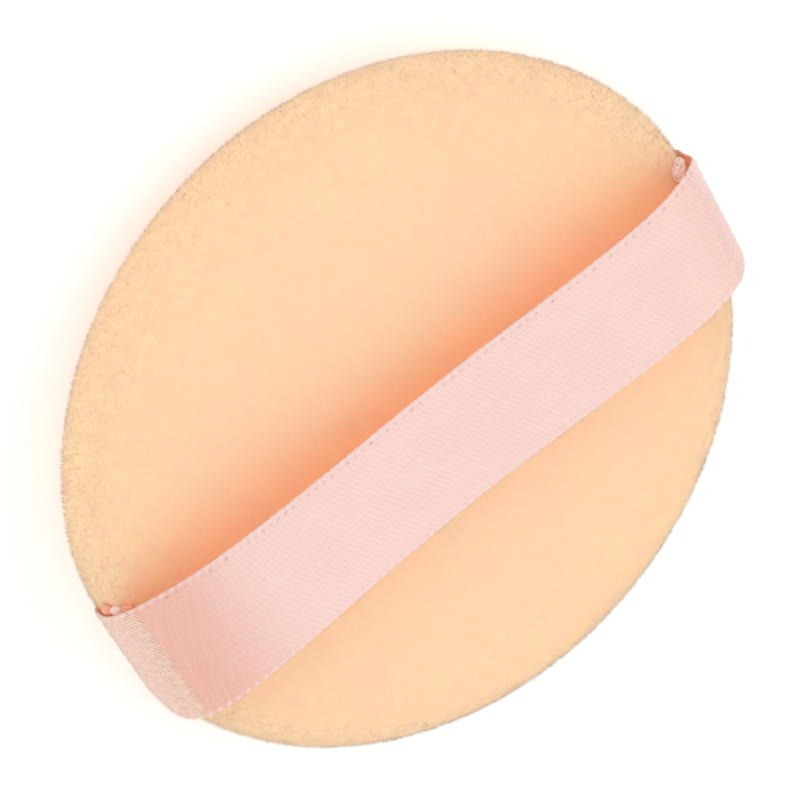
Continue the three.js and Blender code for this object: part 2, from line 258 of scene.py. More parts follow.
@dataclass(frozen=True)
class VelourGround:
    """Sheared polyester velour: the knitted ground seen between the pile's fibres.

    It gives the eye a matt, cushioned peach that glows orange in its own shade, because light runs
    sideways through the fibres, and a mottled look where the pile is brushed over the shoulder.
    """

    shoulder: float  # millimetres from the puff's middle to where it turns over,
    radius: float  # and to its edge
    peach: str = "#FFD5AA"
    pale: str = "#FFDCAC"
    pink: str = "#FFD1AF"
    sheen: str = "#FFEBD8"
    patch: float = 1.3  # millimetres, width of a brushed tuft
    cloud: float = 9.0  # millimetres, width of a slow change in the nap
    grain: float = 0.3  # millimetres, spacing of fibres
    relief: float = 0.06  # millimetres, height of that grain
    brushed: float = 8.0  # millimetres inwards from the shoulder to where the mottling is weakest
    calm: float = 0.25  # share of the mottling that shows there
    glow: tuple[float, float, float] = (14.0, 3.4, 0.6)  # millimetres that each colour runs sideways
    glow_fades: float = -3.0  # millimetres past the shoulder where the glow starts to fade,
    glow_ends: float = 2.0  # and where it has gone

    def material(self) -> Material:
        """Builds the material.

        Returns:
            The material.
        """
        material, add = new_material("Sheared peach polyester velour")
        place = add("TexCoord").outputs["Object"]
        cloud, patch, grain = (
            add("TexNoise", {"Vector": place, "Scale": 1 / (size * MM), "Detail": detail})
            for size, detail in ((self.cloud, 2.0), (self.patch, 4.0), (self.grain, 1.0))
        )
        flat = add("VectorMath", {0: place, 1: (1, 1, 0)}, operation="MULTIPLY")
        out = add("VectorMath", {0: flat}, operation="LENGTH")
        reach = {LOW: (self.shoulder - self.brushed) * MM, HIGH: self.radius * MM}
        band = add("MapRange", {"Value": out, **reach, TO_LOW: self.calm, TO_HIGH: 1.0})
        tuft = add("MapRange", {"Value": patch, LOW: 0.35, HIGH: 0.65})
        mottle = add("Math", {0: tuft, 1: band}, operation="MULTIPLY")
        colour = linear(self.peach)
        for share, over in ((cloud, self.pink), (mottle, self.pale)):
            mixed = {SHARE: share, UNDER: colour, OVER: linear(over)}
            colour = add("Mix", mixed, data_type="RGBA")
        bump = add("Bump", {"Strength": 0.4, "Distance": self.relief * MM, "Height": grain})
        reach = {LOW: (self.shoulder + self.glow_fades) * MM, HIGH: (self.shoulder + self.glow_ends) * MM}
        glowing = add("MapRange", {"Value": out, **reach, TO_LOW: 1.0, TO_HIGH: 0.0})
        look = {
            "Base Color": colour,
            "Roughness": 0.95,
            "Specular IOR Level": 0.1,
            "Subsurface Weight": glowing,
            "Subsurface Radius": self.glow,
            "Subsurface Scale": MM,
            "Sheen Weight": 0.3,
            "Sheen Roughness": 0.5,
            "Sheen Tint": linear(self.sheen),
            "Normal": bump,
        }
        shader = add("BsdfPrincipled", look, subsurface_method="BURLEY")
        add("OutputMaterial", {"Surface": shader})
        return material


@dataclass(frozen=True)
class PileFibre:
    """Polyester pile, cut: one fibre, matt and slightly glossy along its side."""

    tint: Tint

    def material(self) -> Material:
        """Builds the material.

        Returns:
            The material, of one colour, because the tints mix from fibre to fibre.
        """
        material, add = new_material(f"Cut polyester pile fibre {self.tint.name.lower()}")
        look = {
            "Base Color": linear(self.tint.value),
            "Roughness": 0.9,
            "Specular IOR Level": 0.1,
            "Sheen Weight": 0.5,
            "Sheen Roughness": 0.5,
            "Sheen Tint": linear(VelourGround.sheen),
        }
        add("OutputMaterial", {"Surface": add("BsdfPrincipled", look)})
        return material


@dataclass(frozen=True)
class Sponge:
    """Open-cell polyurethane foam, cut from a block: cream, matt and pitted with small cells, with painted
    shade in the pits.
    """

    cream: str = "#F3E6D3"
    # painted shade in the cells' pits
    shade: str = "#E3CFB4"
    cell: float = 0.9  # millimetres across a cell
    pit: float = 0.3  # millimetres deep

    def material(self) -> Material:
        """Builds the material.

        Returns:
            The material.
        """
        material, add = new_material("Cut open-cell polyurethane sponge")
        place = add("TexCoord").outputs["Object"]
        cells = add("TexVoronoi", {"Vector": place, "Scale": 1 / (self.cell * MM)})
        wall = add("MapRange", {"Value": cells, LOW: 0.1, HIGH: 0.5})
        # The pits take the shade colour and the walls the cream: painted shade in the pits.
        mixed = {SHARE: wall, UNDER: linear(self.shade), OVER: linear(self.cream)}
        colour = add("Mix", mixed, data_type="RGBA")
        bump = add("Bump", {"Strength": 0.8, "Distance": self.pit * MM, "Height": wall})
        look = {"Base Color": colour, "Roughness": 0.9, "Normal": bump}
        add("OutputMaterial", {"Surface": add("BsdfPrincipled", look)})
        return material


class Mark(Enum):
    """What each point of the ribbon tells its material, by the name it has in the mesh: WRAP is a painted
    highlight and BEAD a painted shine, while PRESS, PART and DASH carry painted shade, PRESS and PART over
    real relief.
    """

    WRAP = "wrapped_end_painted_highlight"
    PRESS = "pressed_band_painted_shade"
    PART = "parted_floats_painted_shade"
    BEAD = "edge_bead_painted_shine"
    DASH = "edge_dip_painted_shade"


@dataclass(frozen=True)
class Satin:
    """Polyester satin ribbon, woven with long floats along its length.

    It gives the eye a soft sheen that changes along each bend, fine lengthwise threads, and a
    lattice of small dips where the crossing thread ties the floats down. Light shines through it.
    Part of the change along the bends is painted: a cream highlight on the wrapped end and painted
    shade on the pressed stretch and in the parted floats. The edges carry painted shine and shade.
    lattice of small dips where the crossing thread ties the floats down. Light shines through it.
    """

    pink: str = "#FFF8F5"
    tie: str = "#FADBD2"
    # cream: a painted highlight where the ribbon wraps the rim at +X
    cream: str = "#FFF0DE"
    # painted shine on the edge's beads
    bead: str = "#FFF8F4"
    # painted shade in the partings between floats
    gap: str = "#A8705C"
    passed: str = "#FFC296"  # of light that has come through
    # painted shade in the dips between the edge loops
    dash: str = "#B79E9C"
    # painted shade on the pressed stretch before the crease, where the sheen falls away
    painted_press_shade: str = "#F4C6B1"
    warp: float = 0.24  # millimetres between lengthwise threads, drawn coarse enough to show
    pick: float = 0.26  # millimetres between crossing threads, likewise
    repeat: int = 5  # a five-end satin ties every fifth float
    thread_length: float = 6.0  # millimetres over which a thread keeps its shade
    parting: float = 0.46  # millimetres between the lines where floats part over a crease
    parting_length: float = 1.1  # millimetres along such a line
    parting_slant: float = -0.85  # how far such a line runs across the ribbon for its length
    parting_wander: float = 1.5  # radians that such a line strays from its row
    press: float = 0.45  # millimetres between the crosswise lines beside a crease
    relief: float = 0.05  # millimetres, height of the weave
    through: float = 0.30  # share of the light that goes on through each side of the cloth

    def material(self) -> Material:
        """Builds the material on the ribbon's own map and marks, in millimetres.

        Returns:
            The material.
        """
        material, add = new_material("Woven pink polyester satin")
        place = add("UVMap", uv_map=RIBBON_MAP)
        wrap, press, part, bead, dash = (
            add("Attribute", attribute_name=mark.value).outputs["Fac"] for mark in Mark
        )
        step = TURN / self.repeat
        row = TURN / self.parting
        one_way, other_way, partings = (
            add("VectorMath", {0: place, 1: pace}, operation="DOT_PRODUCT")
            for pace in (
                (step / self.pick, 2 * step / self.warp, 0),
                (-2 * step / self.pick, step / self.warp, 0),
                (self.parting_slant * row, row, 0),
            )
        )
        waves = [add("Math", {0: way}, operation="COSINE") for way in (one_way, other_way)]
        crossing = add("Math", {0: waves[0], 1: waves[1]}, operation="ADD")
        tie = add("MapRange", {"Value": crossing, LOW: 0.4, HIGH: 2.0})
        grains = []
        for stretch in (
            (1 / self.thread_length, 1 / self.warp, 0),
            (1 / self.parting_length, 1 / self.parting, 0),
            (1 / self.press, 1 / self.thread_length, 0),
        ):
            spot = add("VectorMath", {0: place, 1: stretch}, operation="MULTIPLY")
            grain = add("TexNoise", {"Vector": spot, "Scale": 1.0})
            grains.append(add("MapRange", {"Value": grain, LOW: 0.3, HIGH: 0.7}))
        thread, broken, line = grains
        strayed = {0: broken, 1: self.parting_wander, 2: partings}
        parted = add("Math", strayed, operation="MULTIPLY_ADD")
        parted = add("Math", {0: parted}, operation="COSINE")
        parted = add("MapRange", {"Value": parted, LOW: -0.2, HIGH: 1.0})
        for share in (broken, part):
            parted = add("Math", {0: parted, 1: share}, operation="MULTIPLY")
        shade = add("Math", {0: thread, 1: 0.35}, operation="MULTIPLY")
        shade = add("Math", {0: tie, 1: 0.45, 2: shade}, operation="MULTIPLY_ADD")
        # The pressed stretch gets painted shade, streaked along its real crosswise lines.
        press_shade_amount = add("Math", {0: line, 1: 0.3, 2: 0.62}, operation="MULTIPLY_ADD")
        press_shade_amount = add("Math", {0: press_shade_amount, 1: press}, operation="MULTIPLY")
        colour = linear(self.pink)
        # After the weave's ties and thread tones comes painted light: painted shade on the pressed
        # stretch, a painted cream highlight on the wrapped end, painted shade in the partings, painted
        # shine on the edge beads and painted shade in the dips.
        for share, over in (
            (shade, self.tie),
            (press_shade_amount, self.painted_press_shade),
            (wrap, self.cream),
            (parted, self.gap),
            (bead, self.bead),
            (dash, self.dash),
        ):
            mixed = {SHARE: share, UNDER: colour, OVER: linear(over)}
            colour = add("Mix", mixed, data_type="RGBA")
        lined = add("Math", {0: line, 1: press}, operation="MULTIPLY")
        raised = thread
        for share, height in ((tie, -1.0), (parted, -1.2), (lined, 1.2)):
            raised = add("Math", {0: share, 1: height, 2: raised}, operation="MULTIPLY_ADD")
        bump = add("Bump", {"Strength": 0.35, "Distance": self.relief * MM, "Height": raised})
        look = {
            "Base Color": colour,
            "Roughness": 0.38,
            "Specular IOR Level": 0.9,
            "Anisotropic": 0.75,
            "Anisotropic Rotation": 0.25,
            "Sheen Weight": 0.1,
            "Sheen Roughness": 0.4,
            "Normal": bump,
            "Tangent": add("Tangent", direction_type="UV_MAP", uv_map=RIBBON_MAP),
        }
        face = add("BsdfPrincipled", look)
        glow = add("BsdfTranslucent", {"Color": linear(self.passed)})
        both = add("MixShader", {0: self.through, 1: face, 2: glow})
        add("OutputMaterial", {"Surface": both})
        return material


@dataclass(frozen=True)
class SpunThread:
    """Spun polyester sewing thread: matt, with the slant of its twist just showing and painted shade in
    its grooves.
    """

    name: str
    colour: str
    # painted shade in the twist's grooves
    shade: str
    scale: float = 0.157  # millimetres, size of the twist's pattern
    relief: float = 0.05  # millimetres, height of the twisted fibres

    def material(self) -> Material:
        """Builds the material.

        Returns:
            The material.
        """
        material, add = new_material(self.name)
        twist = {
            "Vector": add("TexCoord").outputs["Object"],
            "Scale": 1 / (self.scale * MM),
            "Distortion": 2.0,
        }
        ply = add("TexWave", twist, bands_direction="DIAGONAL").outputs["Fac"]
        # The twist's grooves take the shade colour: painted shade.
        mixed = {SHARE: ply, UNDER: linear(self.shade), OVER: linear(self.colour)}
        colour = add("Mix", mixed, data_type="RGBA")
        bump = add("Bump", {"Strength": 0.5, "Distance": self.relief * MM, "Height": ply})
        look = {"Base Color": colour, "Roughness": 0.7, "Sheen Weight": 0.2, "Normal": bump}
        add("OutputMaterial", {"Surface": add("BsdfPrincipled", look)})
        return material


@dataclass(frozen=True)
class WhiteFloor:
    """A matt white table that the camera sees as white, with the object's shadow left on it."""

    white: str = "#F2F2F2"
    lift: float = 0.26  # light that only the camera, mirrors and glass see

    def material(self) -> Material:
        """Builds the material.

        Returns:
            The material.
        """
        material, add = new_material("Matt white painted table")
        path = add("LightPath").outputs
        seen = path["Is Camera Ray"]
        for ray in ("Is Glossy Ray", "Is Transmission Ray"):
            seen = add("Math", {0: seen, 1: path[ray]}, operation="MAXIMUM")
        lift = add("Math", {0: seen, 1: self.lift}, operation="MULTIPLY")
        glow = add("Emission", {"Strength": lift})
        matt = add("BsdfDiffuse", {"Color": linear(self.white)})
        both = add("AddShader", {0: matt, 1: glow})
        add("OutputMaterial", {"Surface": both})
        return material


@dataclass(frozen=True)
class PuffForm:
    """The pad's outer form in millimetres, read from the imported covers."""

    radius: float
    seam: float
    crown: float
    draw: float
    draw_width: float = 12.0  # the ribbon's pull on the rim reaches this far from its middle

    @classmethod
    def from_frame(cls) -> "PuffForm":
        """Reads the form.

        Returns:
            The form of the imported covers.
        """
        back_low, back_high = box_mm("back_cover")
        _, face_high = box_mm("face_cover")
        seam = (back_low[2] + face_high[2]) / 2
        radius = back_high[1]
        return cls(radius, seam, back_high[2] - 2 * seam, radius - back_high[0])

    @property
    def rim(self) -> float:
        """Radius of the rim's round."""
        return self.seam

    @property
    def shoulder(self) -> float:
        """Radius of the flat within the rim."""
        return self.radius - self.rim

    def drawn(self, points: np.ndarray) -> np.ndarray:
        """Pulls the rim in behind the ribbon's ends.

        Args:
            points: Points of a round form.

        Returns:
            The points, moved.
        """
        out = np.hypot(points[:, 0], points[:, 1])
        across = points[:, 1] / self.draw_width
        near = np.maximum(0, 1 - across**2) ** 2
        reach = smoothstep(out, self.shoulder - self.rim, self.radius)
        scale = 1 - self.draw * near * reach / np.maximum(out, 1e-6)
        return points * np.stack([scale, scale, np.ones_like(scale)], axis=1)


class Side(Enum):
    """The puff's two sides, as the direction from the seam along Z."""

    BACK = 1
    FACE = -1


@dataclass
class VelourPad:
    """The two velour covers with their pile, blown up over the sponge. Sizes are in millimetres."""

    form: PuffForm
    spokes: int = 96
    crown_rings: int = 15
    rim_rings: int = 12
    rim_closeness: float = 1.5  # over 1 for rings closer together towards the seam
    inset: float = 0.16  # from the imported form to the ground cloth
    swelling: float = 0.6  # the crown starts this much lower and swells into place
    swelling_reach: float = 12.0  # from the shoulder inwards to where it swells most
    lip: float = 0.003  # from the seam to each cover's fold, which the pile hides
    allowance: float = 4.0
    allowance_start: float = 0.35  # from the fold to where the allowance lies flat
    allowance_gap: float = 0.16
    cloth: float = 0.9
    pressed: float = 1.5  # from the fold to where the cloth has its full thickness
    pressed_share: float = 0.02  # of that thickness, left at the fold
    fold_angle: float = 50.0  # degrees from which a fold is shaded as sharp
    smoothing: int = 2
    unevenness: float = 0.07
    hollow: float = 7.0  # width of its slow waves,
    dimple: float = 3.0  # and of its quick ones,
    dimple_share: float = 0.6  # which are this high beside the slow ones
    face_share: float = 0.3  # of the unevenness, on the side that rests flat
    even_rim: tuple[float, float] = (0.3, 2.0)  # heights from the seam between which it comes in
    hem: float = 0.3  # this near to the seam, a face may belong to the allowance
    simulation_scale: float = 6.0  # the cloth solver works best at cushion size
    simulation_frames: int = 20
    pressure: float = 4.0
    pile: float = 0.45  # length of the fibres on the ground cloth,
    pile_spread: tuple[float, float] = (0.75, 1.2)  # and how it varies
    fibre_width: float = 0.05  # drawn about twice as thick as a real one, so that it shows
    fibre_root: float = 0.12
    nap: float = 0.6  # how far the pile is brushed over, where 1 is half-way down
    nap_sway: float = 11.0  # width of the patches that are brushed one way,
    nap_tuft: float = 1.6  # and of the tufts in them,
    nap_tuft_share: float = 0.25  # which sway this much beside the patches
    nap_stray: float = 0.35  # how far a single fibre strays
    fibre_shade: float = 0.1  # how much of its own lean a fibre shows, where 0 is shaded as the cloth
    bare_top: float = 0.06  # share of the rim's fibres that stand up on the flat, which is brushed down
    bare_fade: float = 4.0  # from the shoulder either way, where the fibres thin out
    back_fibres: int = 34_000
    face_fibres: int = 24_000
    fibres_in_piece: int = 40_000

    def rings(self, side: Side) -> np.ndarray:
        """Gives a cover's profile at its full size.

        Args:
            side: Which cover.

        Returns:
            Rows of radius and height, from the middle to the fold at the seam.
        """
        form = self.form
        crown = form.crown if side is Side.BACK else 0.0
        out = form.shoulder * np.linspace(0, 1, self.crown_rings, endpoint=False)
        flat = np.stack([out, form.rim + crown * (1 - (out / form.shoulder) ** 2) - self.inset], axis=1)
        bend = form.rim - self.inset
        lowest = math.asin(self.lip / bend)
        turn = lowest + (math.pi / 2 - lowest) * np.linspace(1, 0, self.rim_rings) ** self.rim_closeness
        edge = np.stack([form.shoulder + bend * np.cos(turn), bend * np.sin(turn)], axis=1)
        profile = np.concatenate([flat, edge])
        profile[:, 1] = form.seam + side.value * profile[:, 1]
        return profile

    def turned(self, profile: np.ndarray) -> np.ndarray:
        """Turns a profile and pulls it in behind the ribbon's ends."""
        return self.form.drawn(turned_points(profile, self.spokes))

    def faces(self, rows: int, side: Side) -> list[list[int]]:
        """Gives the faces of turned points, pointing away from the seam."""
        return [face[:: side.value] for face in turned_faces(rows, self.spokes)]

    def swollen(self) -> dict[Side, np.ndarray]:
        """Blows the crowns of both covers up as cloth that is held at the rim.

        Returns:
            Each cover's points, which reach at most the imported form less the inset.
        """
        full = {side: self.turned(self.rings(side)) for side in Side}
        start, spare = [], []
        for side, points in full.items():
            out = np.hypot(points[:, 0], points[:, 1])
            reach = self.form.shoulder - self.swelling_reach
            spare.append(self.swelling * (1 - smoothstep(out, reach, self.form.shoulder)))
            start.append(points - side.value * spare[-1][:, None] * np.array([0, 0, 1.0]))
        points, cap = np.concatenate(start), np.concatenate(spare)[:, None]
        rows = self.crown_rings + self.rim_rings
        count = len(full[Side.BACK])
        faces = self.faces(rows, Side.BACK)
        faces += [[i + count for i in face] for face in self.faces(rows, Side.FACE)]
        seam = np.arange(count - self.spokes, count)
        faces += [[a, a + count, b + count, b] for a, b in zip(seam, np.roll(seam, -1))]
        rim = np.arange(count - self.rim_rings * self.spokes, count)
        moved = self.simulated(points, faces, np.concatenate([rim, rim + count]))
        reach = np.linalg.norm(moved - points, axis=1, keepdims=True)
        moved = points + (moved - points) * np.minimum(1, cap / np.maximum(reach, 1e-9))
        return {Side.BACK: moved[:count], Side.FACE: moved[count:]}

    def simulated(self, points: np.ndarray, faces: list[list[int]], sewn: np.ndarray) -> np.ndarray:
        """Runs the cloth solver with pressure inside and no gravity.

        Args:
            points: The closed bag's points.
            faces: Its faces.
            sewn: Numbers of the points that stay in place.

        Returns:
            The points at the last frame.
        """
        bag = mesh_object("swelling_bag", points * self.simulation_scale, faces)
        held = bag.vertex_groups.new(name="sewn")
        held.add([int(i) for i in sewn], 1.0, "REPLACE")
        cloth = bag.modifiers.new("swell", "CLOTH").settings
        cloth.use_pressure = True
        cloth.uniform_pressure_force = self.pressure
        cloth.effector_weights.gravity = 0.0
        cloth.vertex_group_mass = held.name
        scene = bpy.context.scene
        for step in range(1, self.simulation_frames + 1):
            scene.frame_set(step)
        moved = mesh_points(evaluated_mesh(bag)) / self.simulation_scale
        scene.frame_set(1)
        bpy.data.objects.remove(bag)
        return moved

    def cover(self, name: str, side: Side, points: np.ndarray, ground: Material) -> Object:
        """Makes one cover: the swollen sheet, its fold and its turned-in seam allowance.

        Args:
            name: The piece's name.
            side: Which cover.
            points: Its swollen points.
            ground: The velour's material.

        Returns:
            The cover as a sheet without thickness.
        """
        edge = self.form.radius - self.inset
        height = self.form.seam + side.value * self.allowance_gap / 2
        steps = (self.allowance_start, 0.5 * self.allowance, self.allowance)
        tucked = self.turned(np.array([[0, height], *([edge - step, height] for step in steps)]))[1:]
        faces = self.faces(self.crown_rings + self.rim_rings + len(steps), side)
        sheet = mesh_object(name, np.concatenate([points, tucked]), faces, ground)
        ends = np.array([edge.vertices[:] for edge in sheet.data.edges])
        fold = ((ends >= len(points) - self.spokes) & (ends < len(points))).all(axis=1)
        crease = sheet.data.attributes.new("crease_edge", "FLOAT", "EDGE")
        crease.data.foreach_set("value", fold.astype(np.float32))
        finer = sheet.modifiers.new("finer", "SUBSURF")
        finer.levels = finer.render_levels = self.smoothing
        apply_modifiers(sheet)
        return sheet

    def roughen(self, sheet: Object, side: Side) -> None:
        """Gives a cover the slow unevenness of cloth over sponge, flat only where it rests.

        Args:
            sheet: The cover's sheet.
            side: Which cover.
        """
        mesh = sheet.data
        points = mesh_points(mesh)
        normals = np.array([v.normal for v in mesh.vertices])
        wave = noise_field(points, self.hollow, seed=1.0 + side.value)[:, 0]
        wave = wave + self.dimple_share * noise_field(points, self.dimple, seed=4.0)[:, 0]
        amount = self.unevenness if side is Side.BACK else self.face_share * self.unevenness
        amount = amount * smoothstep(np.abs(points[:, 2] - self.form.seam), *self.even_rim)
        points = points + normals * (wave * amount)[:, None]
        mesh.vertices.foreach_set("co", (points * MM).astype(np.float32).ravel())
        mesh.update()

    def thicken(self, sheet: Object) -> None:
        """Makes the sheet a closed cloth of real thickness, pressed thin towards the fold.

        Args:
            sheet: The cover's sheet.
        """
        points = mesh_points(sheet.data)
        out, angle = np.hypot(points[:, 0], points[:, 1]), np.arctan2(points[:, 1], points[:, 0])
        above = np.abs(points[:, 2] - self.form.seam)
        fold = above < 2 * self.lip
        within = np.interp(angle, angle[fold], out[fold], period=TURN) - out
        share = np.clip(np.hypot(within, above) / self.pressed, self.pressed_share, 1)
        full = sheet.vertex_groups.new(name="full_cloth")
        for number, weight in enumerate(share.tolist()):
            full.add([number], weight, "REPLACE")
        cloth = sheet.modifiers.new("cloth", "SOLIDIFY")
        cloth.thickness = self.cloth * MM
        cloth.offset = -1.0
        cloth.vertex_group = full.name
        apply_modifiers(sheet)
        sheet.data.set_sharp_from_angle(angle=math.radians(self.fold_angle))

    def fibre_roots(
        self, sheet: Object, count: int, draw: np.random.Generator
    ) -> tuple[np.ndarray, np.ndarray]:
        """Scatters roots over the outer side of a cover.

        Args:
            sheet: The cover's sheet.
            count: How many fibres.
            draw: Source of chance.

        Returns:
            The roots and the cloth's direction there.
        """
        mesh = sheet.data
        mesh.calc_loop_triangles()
        corners = np.array([t.vertices[:] for t in mesh.loop_triangles])
        points = mesh_points(mesh)
        normals = np.array([v.normal for v in mesh.vertices])
        middle = points[corners].mean(1)
        out = np.hypot(middle[:, 0], middle[:, 1])
        above = np.abs(middle[:, 2] - self.form.seam)
        faced = unit(np.cross(*(points[corners[:, k]] - points[corners[:, 0]] for k in (1, 2))))
        # Near the seam, only a face that looks away from the axis is outside the allowance.
        outer = (above > self.hem) | ((faced * middle)[:, :2].sum(1) > 0.5 * out)
        corners = corners[outer]
        a, b, c = (points[corners[:, k]] for k in range(3))
        shoulder = self.form.shoulder
        standing = smoothstep(out[outer], shoulder - self.bare_fade, shoulder + self.bare_fade)
        dense = self.bare_top + (1 - self.bare_top) * standing
        area = np.linalg.norm(np.cross(b - a, c - a), axis=1) * dense
        chosen = draw.choice(len(corners), size=count, p=area / area.sum())
        u, v = draw.random((2, count))
        turn = u + v > 1
        u, v = np.where(turn, 1 - u, u), np.where(turn, 1 - v, v)
        weights = np.stack([1 - u - v, u, v], axis=1)[..., None]
        roots = (points[corners[chosen]] * weights).sum(1)
        return roots, unit((normals[corners[chosen]] * weights).sum(1))

    def fibres(
        self, roots: np.ndarray, normals: np.ndarray, draw: np.random.Generator
    ) -> tuple[np.ndarray, np.ndarray]:
        """Grows a thin spike on each root, leaning with the nap.

        Args:
            roots: Where the fibres stand.
            normals: The cloth's direction there.
            draw: Source of chance.

        Returns:
            Four points for each fibre, three round its foot and its tip, and the direction it is lit from.
        """
        count = len(roots)
        brushed = noise_field(roots, self.nap_sway, seed=3.0)
        brushed += self.nap_tuft_share * noise_field(roots, self.nap_tuft, seed=7.0)
        brushed -= normals * (brushed * normals).sum(1, keepdims=True)
        lean = self.nap * unit(brushed) + draw.normal(0, self.nap_stray, (count, 3))
        lean -= normals * (lean * normals).sum(1, keepdims=True)
        axis = unit(normals + lean)
        length = self.pile * draw.uniform(*self.pile_spread, (count, 1))
        tip = roots + axis * length
        side = unit(np.cross(axis, draw.normal(0, 1, (count, 3))))
        other = np.cross(axis, side)
        foot = roots - normals * self.fibre_root
        half = self.fibre_width / 2
        turns = [TURN * k / 3 for k in range(3)]
        feet = [foot + half * (math.cos(t) * side + math.sin(t) * other) for t in turns]
        points = np.stack([*feet, tip], axis=1)
        points[..., 2] = np.maximum(points[..., 2], 0)
        return points, unit(normals + self.fibre_shade * lean)

    def pile_pieces(self, name: str, sheet: Object, count: int, tints: list[Material]) -> list[Object]:
        """Covers a sheet with pile, in several pieces if there are many fibres.

        Args:
            name: Start of the pieces' names.
            sheet: The cover's sheet.
            count: How many fibres in all.
            tints: The fibres' materials.

        Returns:
            The pieces.
        """
        draw = np.random.default_rng(SEED)
        roots, normals = self.fibre_roots(sheet, count, draw)
        spikes, lit = self.fibres(roots, normals, draw)
        turn = np.argsort(np.arctan2(roots[:, 1], roots[:, 0]))
        spike = np.array([[0, 1, 3], [1, 2, 3], [2, 0, 3], [0, 2, 1]])
        pieces = []
        for number, chosen in enumerate(np.array_split(turn, math.ceil(count / self.fibres_in_piece)), 1):
            faces = (4 * np.arange(len(chosen))[:, None, None] + spike).reshape(-1, 3)
            piece = mesh_object(f"{name}_{number}", spikes[chosen].reshape(-1, 3), faces, *tints)
            worn = np.repeat(draw.integers(0, len(tints), len(chosen)), len(spike))
            piece.data.polygons.foreach_set("material_index", worn.astype(np.int32))
            piece.data.normals_split_custom_set_from_vertices(np.repeat(lit[chosen], 4, axis=0))
            piece.visible_shadow = False  # real fibres are half as thick and let the light through
            pieces.append(piece)
        return pieces

    def build(self) -> list[Object]:
        """Makes both covers and their pile.

        Returns:
            The pieces, all riding on the pad.
        """
        ground = VelourGround(self.form.shoulder, self.form.radius).material()
        tints = [PileFibre(tint).material() for tint in Tint]
        pieces = []
        swollen = self.swollen()
        for side, name, node, count in (
            (Side.BACK, "velour_back", "back_cover", self.back_fibres),
            (Side.FACE, "velour_face", "face_cover", self.face_fibres),
        ):
            sheet = self.cover(name, side, swollen[side], ground)
            self.roughen(sheet, side)
            pile = self.pile_pieces(f"{name}_pile", sheet, count, tints)
            self.thicken(sheet)
            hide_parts(node)
            pieces += [sheet, *pile]
        for piece in pieces:
            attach(piece, PAD)
        return pieces


@dataclass
class SpongeCore:
    """The foam disc inside the covers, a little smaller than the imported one."""

    clearance: float = 0.2
    spokes: int = 96
    edge_rings: int = 8
    edge_reach: float = 0.8  # how far the edge stands out, as a share of a full round

    def build(self) -> list[Object]:
        """Makes the sponge.

        Returns:
            The piece, riding on the pad.
        """
        low, high = box_mm("foam_core")
        radius = high[1] - self.clearance
        middle = (low[2] + high[2]) / 2
        half = (high[2] - low[2]) / 2 - self.clearance
        turn = np.linspace(math.pi / 2, -math.pi / 2, self.edge_rings)
        flat = np.array([[0, half], [radius / 3, half], [2 * radius / 3, half]])
        edge = [radius - half + half * np.cos(turn) * self.edge_reach, half * np.sin(turn)]
        profile = np.concatenate([flat, np.stack(edge, axis=1), flat[::-1] * [1, -1]]) + [0, middle]
        points = np.concatenate([turned_points(profile[:-1], self.spokes), [[0, 0, middle - half]]])
        faces = turned_faces(len(profile) - 1, self.spokes)
        last = len(points) - 1
        ring = np.arange(last - self.spokes, last)
        faces += [[here, last, after] for here, after in zip(ring, np.roll(ring, -1))]
        sponge = mesh_object("sponge_disc", points, faces, Sponge().material())
        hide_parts("foam_core")
        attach(sponge, PAD)
        return [sponge]


